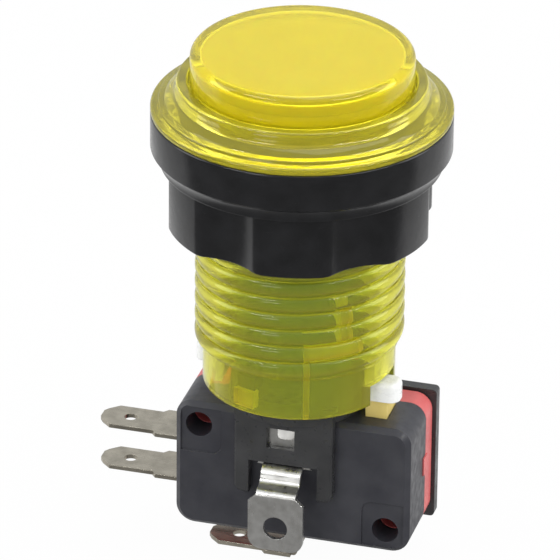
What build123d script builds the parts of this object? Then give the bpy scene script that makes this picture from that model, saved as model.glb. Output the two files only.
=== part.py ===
from build123d import *
import math
import os

# Illuminated push button for a 24 mm panel hole, in millimetres.
# Origin on the button's axis, in the plane where the bezel sits on the panel.
# +Z points out of the panel towards the finger, +X along the microswitch,
# and the terminals of the microswitch point to -X.

# Bezel and threaded barrel
FLANGE_R = 17.0
RIM_TALL = 0.45
COLLAR_R = 14.1
COLLAR_TOP = 3.7
COLLAR_BORE_R = 12.87
COLLAR_EDGE = 0.25
FLANGE_SLOPE = [(14.35, 2.5), (14.85, 1.75), (15.7, 1.3), (16.1, 1.2), (16.15, 1.0), (16.7, 0.8)]
BORE_FLOOR = 0.9
BARREL_END = -33.7
BARREL_BORE_R = 9.7
PLAIN_R = 11.0
PLAIN_TOP = BARREL_END + 5.2
THREAD_END = BARREL_END + 5.6
THREAD_ROOT_R = 11.25
THREAD_CREST_R = 11.95
THREAD_PITCH = 2.04
THREAD_TURNS = 13
THREAD_TOP = -1.3
RIDGE_HALF = 0.42 * THREAD_PITCH
SLOT_FRONT = -5.0
SLOT_BACK = 0.8
SLOT_TALL = 2.6
WEB_BOTTOM = -17.2
WEB_THICK = 1.5
WEB_HOLE_R = 7.35
LEG_GAP_WIDE = 6.0

# Lumps inside the barrel, by turn from -Y towards +X and height over its end
LUMP_R = 8.5
RIB_TURN = (18.3, 22.3)
RIB_TALL = 7.4
LEDGE_TURN = (18.3, 58)
LEDGE_BOTTOM = 7.0
LEDGE_TOP = 8.8
STOP_TURN = (42, 50)
STOP_TOP = 13.7
CATCH_TURN = (-30, -15)
CATCH_BOTTOM = 0.3
CATCH_TOP = 2.3

# Nut that clamps the panel
NUT_TOP = -0.04
NUT_RING_R = 17.0
NUT_RING_TALL = 4.3
NUT_BEVEL_TALL = 1.9
NUT_BEVEL_R = 15.5
NUT_GRIP_R = 15.2
NUT_BOTTOM = -13.6
NUT_BORE_R = 12.05
NUT_LOBES = 6
NUT_FLUTE_R = 8.0
NUT_FLUTE_DEPTH = 1.4
NUT_FIRST_FLUTE = 41.6
NUT_LOBE_ROUND = 2.2
NUT_EDGE = 0.3

# Cap and plunger
CAP_R = 12.6
CAP_TOP = 7.3
CAP_BOTTOM = 3.3
CAP_WALL = 1.1
CAP_FACE = 1.25
DIFFUSER_R = 11.4
DIFFUSER_THICK = 1.35
DIFFUSER_TOP = CAP_TOP - CAP_FACE - 0.03
CAP_EDGE_ROUND = 0.85
PLUNGER_TOP = DIFFUSER_TOP - DIFFUSER_THICK - 0.02
PLUNGER_R = 9.45
PLUNGER_WALL = 0.95
PLUNGER_RING_R = 11.3
PLUNGER_RING_THICK = 1.2
PLUNGER_LIGHT_R = 7.0
PLUNGER_TUBE_END = -8.0
LEG_WIDE = 5.2
BARB_OUT = 0.75
BARB_TALL = 2.1
FOOT_REACH = 12.6
FOOT_FRONT = -3.4
FOOT_BACK = -0.4
FOOT_TALL = 2.3
FOOT_TIP_ROUND = 1.2
FOOT_TOP_ROUND = 0.6

# Return spring
SPRING_R = 7.85
SPRING_WIRE = 0.7
SPRING_TURNS = 8.0

# Microswitch
SWITCH_X = 0.7
SWITCH_LONG = 27.8
SWITCH_TALL = 15.9
SWITCH_THICK = 10.3
CASE_THICK = 7.2
SWITCH_TOP = BARREL_END - 2.67
CASE_WALL = 1.1
CASE_TOP_ROUND = 2.0
CASE_BOTTOM_ROUND = 2.2
CASE_FRONT_CHAMFER = 0.6
COVER_CHAMFER = 0.3
HOLE_R = 1.55
HOLE_APART_X = 22.2
HOLE_APART_Z = 10.3
BOSS_R = 2.9
SPIGOT_R = 2.1
SPIGOT_DEEP = 3.6
BUTTON_X = 9.85
BUTTON_Y = -0.3
BUTTON_LONG = 2.5
BUTTON_WIDE = 4.4
BUTTON_OUT = 2.5
BUTTON_HEAD_Z = SWITCH_TOP - 2.4

# Terminals of the microswitch
TAB_WIDE = 4.6
TAB_THICK = 0.5
TAB_TIP_X = -23.5
TAB_HOLE_R = 0.75
TAB_HOLE_IN = 3.4
SHOULDER_WIDE = 5.8
SHOULDER_LONG = 3.6
NC_Z = BARREL_END - 8.9
NO_Z = BARREL_END - 14.3
COM_Z = BARREL_END - 22.2
COM_TIP_X = -10.3
CONTACT_X = -5.5
CONTACT_R = 1.3
CONTACT_TALL = 1.0
LOW_CONTACT_TALL = 0.92
BLADE_THICK = 0.3
BLADE_WIDE = 3.4
PIVOT_X = 12.2
BOW_THICK = 0.22
BOW_WIDE = 2.8
COM_UPRIGHT_X = 0.4
COM_SHELF_Z = BARREL_END - 12.2
COM_SHELF_HALF = 1.7
COM_BEND = 0.45

# Lamp holder and lamp
TOWER_R = 7.7
TOWER_STEP = -17.6
NECK_R = 7.15
NECK_TOP = -12.2
BAYONET_R = 9.4
SHOE_TURN = (-12, 17.6)
SHOE_TALL = 1.5
LUG_TURN = (-29, -15)
LUG_LOW = 2.5
LUG_HIGH = 4.0
SOCKET_LONG = 10.2
SOCKET_WIDE = 5.6
SOCKET_FLOOR = BARREL_END + 2.5
STRIP_WAY_IN = 1.3
STRIP_WAY_OUT = 2.8
LEG_FRONT = -6.5
LEG_HALF = 5.8
LEG_BOTTOM = BARREL_END - 12.6
LEG_SLOT_HALF = 4.05
LEG_SLOT_TOP = BARREL_END - 8.3
PLATE_GAP = 0.05
PLATE_THICK = 1.4
PLATE_CORNER = 0.5
PLATE_RIGHT = 15.0
PLATE_LEFT = -12.9
PLATE_TOP = BARREL_END - 2.4
PLATE_BOTTOM = BARREL_END - 18.9
STRIP_WAY_TOP = BARREL_END - 1.0
WINDOW_LEFT = -1.95
WINDOW_RIGHT = 1.35
WINDOW_TOP = BARREL_END - 3.8
WINDOW_BOTTOM = BARREL_END - 6.35
STRIP_THICK = 0.5
FRONT_STRIP_Y = 5.48
REAR_STRIP_Y = 6.9
SOCKET_STRIP_Y = 1.62
STRIP_TURN_Z = BARREL_END - 1.35
BEND_TOP = BARREL_END - 8.6
BEND_RADII = [0.3, 0.3, 0.5, 1.2, 1.1, 0.6]
STRIP_WIDE = 6.2
NECK_WIDE = 4.66
LUG_WIDE = 6.5
LUG_Y = 9.2
LUG_TOP = BARREL_END - 10.95
LUG_BOTTOM = BARREL_END - 18.0
LUG_HOLE_Z = BARREL_END - 15.06
LUG_HOLE_R = 1.43
LAMP_BASE_LONG = 9.4
LAMP_BASE_WIDE = 4.8
LAMP_WEDGE_WIDE = 2.2
LAMP_COLLAR_TOP = NECK_TOP + 2.6
WEDGE_BOTTOM = BARREL_END + 9.0
LEAD_X = 2.0
LEAD_HALF = 0.22
LEAD_THICK = 0.24
BULB_R = 4.7
BULB_TOP = 1.2


def block(x0, x1, y0, y1, z0, z1):
    # box between two opposite corners
    size = Box(x1 - x0, y1 - y0, z1 - z0)
    return Pos((x0 + x1) / 2, (y0 + y1) / 2, (z0 + z1) / 2) * size


def rod(radius, z0, z1, x=0, y=0):
    # upright cylinder between two heights
    return Pos(x, y, (z0 + z1) / 2) * Cylinder(radius, z1 - z0)


def ring(outer, inner, z0, z1):
    return rod(outer, z0, z1) - rod(inner, z0 - 1, z1 + 1)


def cross_rod(radius, y0, y1, x, z):
    # cylinder along Y
    return Pos(x, (y0 + y1) / 2, z) * Rot(90, 0, 0) * Cylinder(radius, y1 - y0)


def sector(r0, r1, start, end, z0, z1):
    # piece of a ring between two angles, counted from -Y towards +X
    piece = ring(r1, r0, z0, z1)
    reach = 2 * r1
    middle = math.radians((start + end) / 2 - 90)
    half = math.radians((end - start) / 2)
    corners = [(0, 0)]
    for turn in (-half, half):
        corners.append((reach * math.cos(middle + turn), reach * math.sin(middle + turn)))
    wedge = extrude(make_face(Polyline(*corners, close=True).edges()), z1 - z0)
    return piece & (Pos(0, 0, z0) * wedge)


def turned(points):
    # solid of revolution from an outline of (radius, height) points
    outline = Plane.XZ * make_face(Polyline(*points, close=True).edges())
    return revolve(outline, Axis.Z)


def helix_wire(radius, wire, z0, z1, turns):
    # round wire coil between two end planes
    height = z1 - z0 - wire
    path = Pos(0, 0, z0 + wire / 2) * Helix(height / turns, height, radius)
    start = Plane(path @ 0, z_dir=path % 0)
    return sweep(start * Circle(wire / 2), path, is_frenet=True)


def bent_strip(points, radius, thickness, width):
    # flat strip bent in the YZ plane, centred on X
    path = FilletPolyline(*points, radius=radius)
    side = trace(path, thickness)
    return Pos(-width / 2, 0, 0) * extrude(Plane.YZ * side, width)


def wall_lump(turn, low, high, short=0.0):
    # block on the inside of the barrel's wall
    start, end = turn
    return sector(LUMP_R + short, BARREL_BORE_R + 0.2, start, end, BARREL_END + low, BARREL_END + high)


# Bezel: flange, collar and threaded barrel in one clear moulding
def bezel():
    body = turned(
        [
            (COLLAR_BORE_R, COLLAR_TOP - COLLAR_EDGE),
            (COLLAR_BORE_R + COLLAR_EDGE, COLLAR_TOP),
            (COLLAR_R - COLLAR_EDGE, COLLAR_TOP),
            (COLLAR_R, COLLAR_TOP - COLLAR_EDGE),
            *FLANGE_SLOPE,
            (FLANGE_R, RIM_TALL),
            (FLANGE_R, 0),
            (THREAD_ROOT_R, 0),
            (THREAD_ROOT_R, THREAD_END),
            (PLAIN_R, PLAIN_TOP),
            (PLAIN_R, BARREL_END + 0.3),
            (PLAIN_R - 0.3, BARREL_END),
            (BARREL_BORE_R, BARREL_END),
            (BARREL_BORE_R, BORE_FLOOR),
            (COLLAR_BORE_R, BORE_FLOOR),
        ]
    )
    for turn in range(THREAD_TURNS):
        z = THREAD_TOP - (turn + 0.5) * THREAD_PITCH
        low = z - RIDGE_HALF
        high = z + RIDGE_HALF
        foot = THREAD_ROOT_R - 0.2
        arc = ThreePointArc((THREAD_ROOT_R, low), (THREAD_CREST_R, z), (THREAD_ROOT_R, high))
        back = Polyline((THREAD_ROOT_R, high), (foot, high), (foot, low), (THREAD_ROOT_R, low))
        ridge = Plane.XZ * make_face(arc.edges() + back.edges())
        body += revolve(ridge, Axis.Z)
    web = ring(BARREL_BORE_R + 0.2, WEB_HOLE_R, WEB_BOTTOM, WEB_BOTTOM + WEB_THICK)
    body += web - block(-20, 20, -LEG_GAP_WIDE / 2, LEG_GAP_WIDE / 2, WEB_BOTTOM - 1, 0)
    for side in (0, 180):
        lumps = wall_lump(RIB_TURN, 0, RIB_TALL, 0.3)
        lumps += wall_lump(LEDGE_TURN, LEDGE_BOTTOM, LEDGE_TOP)
        lumps += wall_lump(STOP_TURN, LEDGE_TOP, STOP_TOP)
        lumps += wall_lump(CATCH_TURN, CATCH_BOTTOM, CATCH_TOP, 0.1)
        body += Rot(0, 0, side) * lumps
    # each slot lies mostly on one side of X, as the feet were twisted into place
    slot = block(0, 20, SLOT_FRONT, SLOT_BACK, BARREL_END - 1, BARREL_END + SLOT_TALL)
    return body - slot - Rot(0, 0, 180) * slot


# Nut: round ring against the panel and a fluted grip below it
def panel_nut():
    ring_bottom = NUT_TOP - NUT_RING_TALL
    bevel_bottom = ring_bottom - NUT_BEVEL_TALL
    head = turned(
        [
            (NUT_BORE_R, NUT_TOP),
            (NUT_RING_R - NUT_EDGE, NUT_TOP),
            (NUT_RING_R, NUT_TOP - NUT_EDGE),
            (NUT_RING_R, ring_bottom + 0.2),
            (NUT_RING_R - 0.2, ring_bottom),
            (NUT_BEVEL_R, bevel_bottom),
            (NUT_BORE_R, bevel_bottom),
        ]
    )
    grip = rod(NUT_GRIP_R, NUT_BOTTOM, bevel_bottom)
    for lobe in range(NUT_LOBES):
        angle = math.radians(NUT_FIRST_FLUTE + lobe * 360 / NUT_LOBES - 90)
        away = NUT_GRIP_R - NUT_FLUTE_DEPTH + NUT_FLUTE_R
        grip -= rod(
            NUT_FLUTE_R, NUT_BOTTOM - 1, bevel_bottom + 1, away * math.cos(angle), away * math.sin(angle)
        )
    grip = fillet(grip.edges().filter_by(Axis.Z), NUT_LOBE_ROUND)
    grip = chamfer(grip.faces().sort_by(Axis.Z)[0].outer_wire().edges(), 0.25)
    grip -= rod(NUT_BORE_R, NUT_BOTTOM - 1, bevel_bottom + 1)
    return head + grip


# Lens of the cap: a shallow clear cup over the diffuser
def cap_lens():
    cup = rod(CAP_R, CAP_BOTTOM, CAP_TOP)
    cup = fillet(cup.edges().sort_by(Axis.Z)[-1], CAP_EDGE_ROUND)
    return cup - rod(CAP_R - CAP_WALL, CAP_BOTTOM - 1, CAP_TOP - CAP_FACE)


def diffuser():
    disc = rod(DIFFUSER_R, DIFFUSER_TOP - DIFFUSER_THICK, DIFFUSER_TOP)
    return fillet(disc.edges().sort_by(Axis.Z)[-1], 0.3)


# Plunger: ring under the diffuser, guide tube, two legs and the feet
def plunger():
    inner = PLUNGER_R - PLUNGER_WALL
    head = ring(PLUNGER_RING_R, PLUNGER_LIGHT_R, PLUNGER_TOP - PLUNGER_RING_THICK, PLUNGER_TOP)
    tube = ring(PLUNGER_R, inner, PLUNGER_TUBE_END, PLUNGER_TOP)
    foot_bottom = SWITCH_TOP + BUTTON_OUT + 0.02
    foot_top = foot_bottom + FOOT_TALL
    legs = ring(PLUNGER_R, inner, foot_bottom, PLUNGER_TUBE_END + 1)
    legs &= block(-20, 20, -LEG_WIDE / 2, LEG_WIDE / 2, foot_bottom - 1, PLUNGER_TUBE_END + 2)
    barb_half = LEG_WIDE / 2 + BARB_OUT
    barbs = ring(PLUNGER_R, inner, WEB_BOTTOM - 0.1 - BARB_TALL, WEB_BOTTOM - 0.1)
    barbs &= block(-20, 20, -barb_half, barb_half, WEB_BOTTOM - 3, WEB_BOTTOM)
    body = head + tube + legs + barbs
    for side in (-1, 1):
        reach = block(inner, FOOT_REACH, FOOT_FRONT, FOOT_BACK, foot_bottom, foot_top)
        tips = reach.edges().filter_by(Axis.Z).group_by(Axis.X)[-1]
        reach = fillet(tips, FOOT_TIP_ROUND)
        reach = fillet(reach.faces().sort_by(Axis.Z)[-1].edges().group_by(Axis.X)[1:], FOOT_TOP_ROUND)
        turn = Rot(0, 0, 0 if side > 0 else 180)
        body += turn * reach
    return body


def return_spring():
    seat = WEB_BOTTOM + WEB_THICK + 0.02
    top = PLUNGER_TOP - PLUNGER_RING_THICK - 0.02
    return helix_wire(SPRING_R, SPRING_WIRE, seat, top, SPRING_TURNS)


# Outline of the microswitch seen from the front, with its four corners rounded
def switch_outline(y0, y1, inset=0.0):
    x0 = SWITCH_X - SWITCH_LONG / 2 + inset
    x1 = SWITCH_X + SWITCH_LONG / 2 - inset
    body = block(x0, x1, y0, y1, SWITCH_TOP - SWITCH_TALL + inset, SWITCH_TOP - inset)
    upright = body.edges().filter_by(Axis.Y)
    body = fillet(upright.group_by(Axis.Z)[-1], CASE_TOP_ROUND)
    body = fillet(body.edges().filter_by(Axis.Y).group_by(Axis.Z)[0], CASE_BOTTOM_ROUND)
    return body


def mounting_holes():
    # the two fixing holes lie on a falling diagonal
    middle = SWITCH_TOP - SWITCH_TALL / 2
    return [
        (SWITCH_X - HOLE_APART_X / 2, middle + HOLE_APART_Z / 2),
        (SWITCH_X + HOLE_APART_X / 2, middle - HOLE_APART_Z / 2),
    ]


FRONT_Y = -SWITCH_THICK / 2
SPLIT_Y = FRONT_Y + CASE_THICK
BACK_Y = SWITCH_THICK / 2


def switch_cavity(y0, y1):
    # room for the contacts, clear of the bosses round the fixing holes
    room = block(
        SWITCH_X - SWITCH_LONG / 2 + CASE_WALL,
        SWITCH_X + SWITCH_LONG / 2 - CASE_WALL,
        y0,
        y1,
        SWITCH_TOP - SWITCH_TALL + CASE_WALL,
        SWITCH_TOP - CASE_WALL,
    )
    for x, z in mounting_holes():
        room -= cross_rod(BOSS_R, y0 - 1, y1 + 1, x, z)
    return room


def terminal_ways():
    # openings in the walls for the three terminals and the switch button
    left = SWITCH_X - SWITCH_LONG / 2
    bottom = SWITCH_TOP - SWITCH_TALL
    ways = block(0.1, 0.7, -TAB_WIDE / 2, TAB_WIDE / 2, bottom - 1, bottom + 2)
    for z in (NC_Z, NO_Z):
        ways += block(
            left - 1, left + 2, -TAB_WIDE / 2, TAB_WIDE / 2, z - TAB_THICK / 2, z + TAB_THICK / 2
        )
    slack = 0.1
    ways += block(
        BUTTON_X - BUTTON_LONG / 2 - slack,
        BUTTON_X + BUTTON_LONG / 2 + slack,
        BUTTON_Y - BUTTON_WIDE / 2 - slack,
        BUTTON_Y + BUTTON_WIDE / 2 + slack,
        SWITCH_TOP - 2,
        SWITCH_TOP + 1,
    )
    return ways


def side_latch(grow):
    # latch of the cover in a notch of the case, on the right side
    right = SWITCH_X + SWITCH_LONG / 2
    middle = BARREL_END - 10.3
    return block(
        right - 0.9, right + 0.15, SPLIT_Y - 1.1 - grow, SPLIT_Y + 0.5, middle - 1.1 - grow, middle + 1.1 + grow
    )


def switch_case():
    body = switch_outline(FRONT_Y, SPLIT_Y)
    body = chamfer(body.faces().sort_by(Axis.Y)[0].edges().sort_by(Axis.Z)[-1], CASE_FRONT_CHAMFER)
    body -= switch_cavity(FRONT_Y + CASE_WALL, SPLIT_Y + 1)
    for number, (x, z) in enumerate(mounting_holes()):
        body -= cross_rod(HOLE_R, FRONT_Y - 1, SPLIT_Y + 1, x, z)
        body -= cross_rod(SPIGOT_R + 0.03, FRONT_Y + CASE_THICK - SPIGOT_DEEP, SPLIT_Y + 1, x, z)
        # shallow square round each hole, open to the nearest corner
        turn = 1 if number == 0 else -1
        square = block(-2.1, 2.75, FRONT_Y - 1, FRONT_Y + 0.18, -3.5, 2.2)
        square = fillet(square.edges().filter_by(Axis.Y).sort_by(Axis.X)[2:].sort_by(Axis.Z)[0], 1.2)
        body -= Pos(x, 0, z) * (square if turn > 0 else mirrored_pad(square))
    body -= terminal_ways()
    return body - side_latch(0.05)


def mirrored_pad(square):
    # the second square is the first one turned half round about the Y axis
    return Rot(0, 180, 0) * square


def switch_cover():
    body = switch_outline(SPLIT_Y, BACK_Y)
    body = chamfer(body.faces().sort_by(Axis.Y)[-1].edges(), COVER_CHAMFER)
    body -= switch_cavity(SPLIT_Y - 1, BACK_Y - 1.0)
    for x, z in mounting_holes():
        body += cross_rod(SPIGOT_R, SPLIT_Y - SPIGOT_DEEP + 0.05, SPLIT_Y + 1, x, z)
        body -= cross_rod(HOLE_R - 0.05, SPLIT_Y - SPIGOT_DEEP - 1, BACK_Y + 1, x, z)
    body -= terminal_ways()
    return body + side_latch(0)


# Button of the microswitch: a stem through the top wall and a head inside
def switch_button():
    top = SWITCH_TOP + BUTTON_OUT
    x0 = BUTTON_X - BUTTON_LONG / 2
    x1 = BUTTON_X + BUTTON_LONG / 2
    y0 = BUTTON_Y - BUTTON_WIDE / 2
    y1 = BUTTON_Y + BUTTON_WIDE / 2
    stem = block(x0, x1, y0, y1, BUTTON_HEAD_Z, top)
    stem = chamfer(stem.faces().sort_by(Axis.Z)[-1].edges(), 0.15)
    head = block(x0 - 0.6, x1 + 0.6, y0, y1 - 0.3, BUTTON_HEAD_Z, SWITCH_TOP - CASE_WALL - 0.05)
    return stem + head


def tab(tip_x, root_x, shoulder_x):
    # flat push-on terminal along X with a tapered tip, at height 0
    half = TAB_WIDE / 2
    outline = Polyline(
        (root_x, -half),
        (shoulder_x, -half),
        (shoulder_x, -SHOULDER_WIDE / 2),
        (shoulder_x - SHOULDER_LONG + 0.5, -SHOULDER_WIDE / 2),
        (shoulder_x - SHOULDER_LONG, -half),
        (tip_x + 1.5, -half),
        (tip_x + 0.4, -half + 1.0),
        (tip_x, -half + 1.6),
        (tip_x, half - 1.6),
        (tip_x + 0.4, half - 1.0),
        (tip_x + 1.5, half),
        (shoulder_x - SHOULDER_LONG, half),
        (shoulder_x - SHOULDER_LONG + 0.5, SHOULDER_WIDE / 2),
        (shoulder_x, SHOULDER_WIDE / 2),
        (shoulder_x, half),
        (root_x, half),
        close=True,
    )
    blade = extrude(make_face(outline.edges()), TAB_THICK / 2, both=True)
    return blade - rod(TAB_HOLE_R, -1, 1, tip_x + TAB_HOLE_IN)


def side_terminal(z):
    left = SWITCH_X - SWITCH_LONG / 2
    blade = tab(TAB_TIP_X, CONTACT_X + 2.0, left - 0.02)
    return Pos(0, 0, z) * blade


def com_terminal():
    # from the tab under the case up through its floor to the blade's pivot post
    half = TAB_THICK / 2
    left = COM_UPRIGHT_X - half
    right = COM_UPRIGHT_X + half
    floor = SWITCH_TOP - SWITCH_TALL + CASE_WALL
    body = Pos(0, 0, COM_Z) * tab(COM_TIP_X, right, COM_UPRIGHT_X - 0.4)
    body += block(left, right, -TAB_WIDE / 2, TAB_WIDE / 2, COM_Z - half, floor)
    bend = body.edges().filter_by(Axis.Y).group_by(Axis.Z)[0].sort_by(Axis.X)[-1]
    body = fillet(bend, COM_BEND)
    shelf_bottom = COM_SHELF_Z - TAB_THICK
    post_top = BLADE_Z - BLADE_THICK / 2 - 0.04
    upright = block(left, right, -COM_SHELF_HALF, COM_SHELF_HALF, floor - 0.5, COM_SHELF_Z)
    shelf = block(left, PIVOT_X + half, -COM_SHELF_HALF, COM_SHELF_HALF, shelf_bottom, COM_SHELF_Z)
    post = block(PIVOT_X - half, PIVOT_X + half, -COM_SHELF_HALF, COM_SHELF_HALF, shelf_bottom, post_top)
    return body + upright + shelf + post


# Heights of the contacts: the blade rests against the upper one
NC_FACE = NC_Z - TAB_THICK / 2 - CONTACT_TALL
NO_FACE = NO_Z + TAB_THICK / 2 + LOW_CONTACT_TALL
MOVING_TALL = 1.8
BLADE_Z = NC_FACE - 0.03 - MOVING_TALL / 2


def nc_contact():
    head = rod(CONTACT_R, NC_FACE, NC_Z - TAB_THICK / 2, CONTACT_X)
    return fillet(head.edges().sort_by(Axis.Z)[0], 0.3)


def no_contact():
    head = rod(CONTACT_R, NO_Z + TAB_THICK / 2, NO_FACE, CONTACT_X)
    return fillet(head.edges().sort_by(Axis.Z)[-1], 0.3)


def moving_contact():
    half = MOVING_TALL / 2
    body = rod(CONTACT_R, BLADE_Z - half, BLADE_Z + half, CONTACT_X)
    body = fillet(body.edges(), 0.25)
    groove = rod(CONTACT_R + 1, BLADE_Z - BLADE_THICK / 2, BLADE_Z + BLADE_THICK / 2, CONTACT_X)
    groove -= rod(CONTACT_R - 0.5, BLADE_Z - 1, BLADE_Z + 1, CONTACT_X)
    return body - groove


def snap_blade():
    half = BLADE_WIDE / 2
    body = block(CONTACT_X - 1.6, PIVOT_X + 0.6, -half, half, BLADE_Z - BLADE_THICK / 2, BLADE_Z + BLADE_THICK / 2)
    body -= rod(CONTACT_R - 0.5, BLADE_Z - 1, BLADE_Z + 1, CONTACT_X)
    # long window that leaves two side rails
    body -= block(-2.5, 6.0, -0.8, 0.8, BLADE_Z - 1, BLADE_Z + 1)
    return body


def bow_spring():
    # bowed leaf between the switch button's head and the blade
    low = BLADE_Z + BLADE_THICK / 2 + 0.05
    high = BUTTON_HEAD_Z - 0.05
    middle = (low + high) / 2
    t = BOW_THICK
    x = BUTTON_X
    outer = ThreePointArc((x - 0.6, high), (x + 1.9, middle), (x - 0.6, low))
    inner = ThreePointArc((x - 0.6, low + t), (x + 1.9 - t, middle), (x - 0.6, high - t))
    ends = [Line((x - 0.6, low), (x - 0.6, low + t)), Line((x - 0.6, high - t), (x - 0.6, high))]
    edges = outer.edges() + inner.edges() + ends[0].edges() + ends[1].edges()
    return Pos(0, BOW_WIDE / 2, 0) * extrude(Plane.XZ * make_face(edges), BOW_WIDE)


# Lamp holder: tower in the barrel, bridge over the switch, front leg and rear plate
def lamp_holder():
    tower = rod(TOWER_R, BARREL_END - 0.05, TOWER_STEP)
    tower += rod(NECK_R, TOWER_STEP, NECK_TOP)
    shoe = sector(TOWER_R - 0.5, BAYONET_R, *SHOE_TURN, BARREL_END, BARREL_END + SHOE_TALL)
    lug = sector(TOWER_R - 0.5, BAYONET_R, *LUG_TURN, BARREL_END + LUG_LOW, BARREL_END + LUG_HIGH)
    for side in (0, 180):
        tower += Rot(0, 0, side) * (shoe + lug)
    bridge = rod(TOWER_R, SWITCH_TOP + 0.03, BARREL_END - 0.03)
    bridge += block(-LEG_HALF, LEG_HALF, LEG_FRONT, 0, SWITCH_TOP + 0.03, BARREL_END - 0.03)
    plate_front = BACK_Y + PLATE_GAP
    plate_back = plate_front + PLATE_THICK
    bridge += block(-LEG_HALF, LEG_HALF, 0, plate_back, SWITCH_TOP + 0.03, BARREL_END - 0.03)
    body = tower + bridge + front_leg() + rear_plate(plate_front, plate_back)
    half_long = SOCKET_LONG / 2
    half_wide = SOCKET_WIDE / 2
    body -= block(-half_long, half_long, -half_wide, half_wide, SOCKET_FLOOR, NECK_TOP + 1)
    # ways for the two contact strips
    way = STRIP_WIDE / 2 + 0.05
    for side in (-1, 1):
        y0, y1 = sorted((side * STRIP_WAY_IN, side * STRIP_WAY_OUT))
        body -= block(-way, way, y0, y1, SWITCH_TOP, SOCKET_FLOOR + 0.5)
    body -= block(-way, way, -FRONT_STRIP_Y - 0.3, -STRIP_WAY_IN, SWITCH_TOP, STRIP_WAY_TOP)
    body -= block(-way, way, STRIP_WAY_IN, REAR_STRIP_Y + 0.3, SWITCH_TOP, STRIP_WAY_TOP)
    return body


def front_leg():
    back = FRONT_Y - 0.05
    leg = block(-LEG_HALF, LEG_HALF, LEG_FRONT, back, LEG_BOTTOM, BARREL_END - 0.03)
    leg = fillet(leg.edges().filter_by(Axis.Y).group_by(Axis.Z)[0], 1.0)
    leg = chamfer(leg.faces().sort_by(Axis.Y)[0].edges().filter_by(Axis.Z), 0.25)
    leg -= block(-LEG_SLOT_HALF, LEG_SLOT_HALF, -20, 0, LEG_BOTTOM - 1, LEG_SLOT_TOP)
    leg -= block(WINDOW_LEFT, WINDOW_RIGHT, -20, 0, WINDOW_BOTTOM, WINDOW_TOP)
    way = STRIP_WIDE / 2 + 0.05
    leg -= block(-way, way, -FRONT_STRIP_Y - 0.3, back + 1, LEG_SLOT_TOP - 1, STRIP_WAY_TOP)
    return leg


def rear_plate(front, back):
    plate = block(PLATE_LEFT, PLATE_RIGHT, front, back, PLATE_BOTTOM, PLATE_TOP)
    plate = fillet(plate.edges().filter_by(Axis.Y), PLATE_CORNER)
    for x, z in mounting_holes():
        plate += cross_rod(HOLE_R - 0.12, SPLIT_Y - 0.6, front + 0.5, x, z)
    # slot where the rear contact strip leaves the plate
    way = STRIP_WIDE / 2 + 0.05
    plate -= block(-way, way, REAR_STRIP_Y - 0.3, back + 1, LEG_SLOT_TOP - 1, PLATE_TOP + 1)
    plate -= block(-way, way, front - 1, back + 1, PLATE_TOP - 0.3, PLATE_TOP + 1)
    return plate


# Contact strip of the lamp: blade in the socket, strip in the holder, lug outside
def lamp_terminal(strip_y, face_y):
    path = [
        (-SOCKET_STRIP_Y, NECK_TOP - 1.5),
        (-SOCKET_STRIP_Y, STRIP_TURN_Z),
        (-strip_y, STRIP_TURN_Z),
        (-strip_y, BEND_TOP),
        (-strip_y - 1.5, BEND_TOP - 0.25),
        (-strip_y - 2.05, BEND_TOP - 1.8),
        (-LUG_Y, BEND_TOP - 2.2),
        (-LUG_Y, LUG_BOTTOM),
    ]
    strip = bent_strip(path, BEND_RADII, STRIP_THICK, LUG_WIDE)
    half_strip = STRIP_WIDE / 2
    half_neck = NECK_WIDE / 2
    half_lug = LUG_WIDE / 2
    for side in (-1, 1):
        a, b = sorted((side * half_strip, side * 9))
        strip -= block(a, b, -20, 0, BEND_TOP - 0.3, NECK_TOP)
        a, b = sorted((side * 2.4, side * 9))
        strip -= block(a, b, -SOCKET_STRIP_Y - 0.6, 0, BARREL_END - 0.5, NECK_TOP)
        a, b = sorted((side * half_neck, side * 9))
        strip -= block(a, b, -20, -strip_y - 0.35, LUG_TOP, BEND_TOP + 0.6)
        shoulder = Polyline(
            (side * half_neck, LUG_TOP + 0.05),
            (side * (half_lug + 0.1), LUG_TOP + 0.05),
            (side * (half_lug + 0.1), LUG_TOP - 1.0),
            (side * half_neck, LUG_TOP - 0.05),
            close=True,
        )
        strip -= Pos(0, -5, 0) * extrude(Plane.XZ * make_face(shoulder.edges()), 8)
    lug = strip & block(-9, 9, -20, 0, LUG_BOTTOM - 1, LUG_BOTTOM + 2.0)
    rest = strip & block(-9, 9, -20, 0, LUG_BOTTOM + 2.0, NECK_TOP)
    lug = fillet(lug.edges().filter_by(Axis.Y).group_by(Axis.Z)[0], 1.6)
    strip = rest + lug
    strip -= cross_rod(LUG_HOLE_R, -20, face_y, 0, LUG_HOLE_Z)
    return strip


def front_lamp_terminal():
    strip = lamp_terminal(FRONT_STRIP_Y, -6)
    # locking tongue that springs out into the leg's window
    tongue = block(-0.8, 1.3, -0.2, 0.2, -1.7, 0)
    tongue = fillet(tongue.edges().filter_by(Axis.Y).group_by(Axis.Z)[0], 0.6)
    return strip + Pos(0, -FRONT_STRIP_Y - 0.05, BARREL_END - 3.6) * Rot(-14, 0, 0) * tongue


def rear_lamp_terminal():
    return Rot(0, 0, 180) * lamp_terminal(REAR_STRIP_Y, -7.5)


# Wedge lamp: moulded base, two folded leads and the light-emitting dome
def lamp_base():
    half_long = LAMP_BASE_LONG / 2
    half_wide = LAMP_BASE_WIDE / 2
    half_wedge = LAMP_WEDGE_WIDE / 2
    collar = block(-half_long, half_long, -half_wide, half_wide, NECK_TOP - 0.9, LAMP_COLLAR_TOP)
    collar = fillet(collar.edges().filter_by(Axis.Z), 1.2)
    wedge = block(-half_long + 0.3, half_long - 0.3, -half_wedge, half_wedge, WEDGE_BOTTOM, NECK_TOP)
    wedge = chamfer(wedge.faces().sort_by(Axis.Z)[0].edges().filter_by(Axis.X), 0.6)
    return collar + wedge


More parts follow.
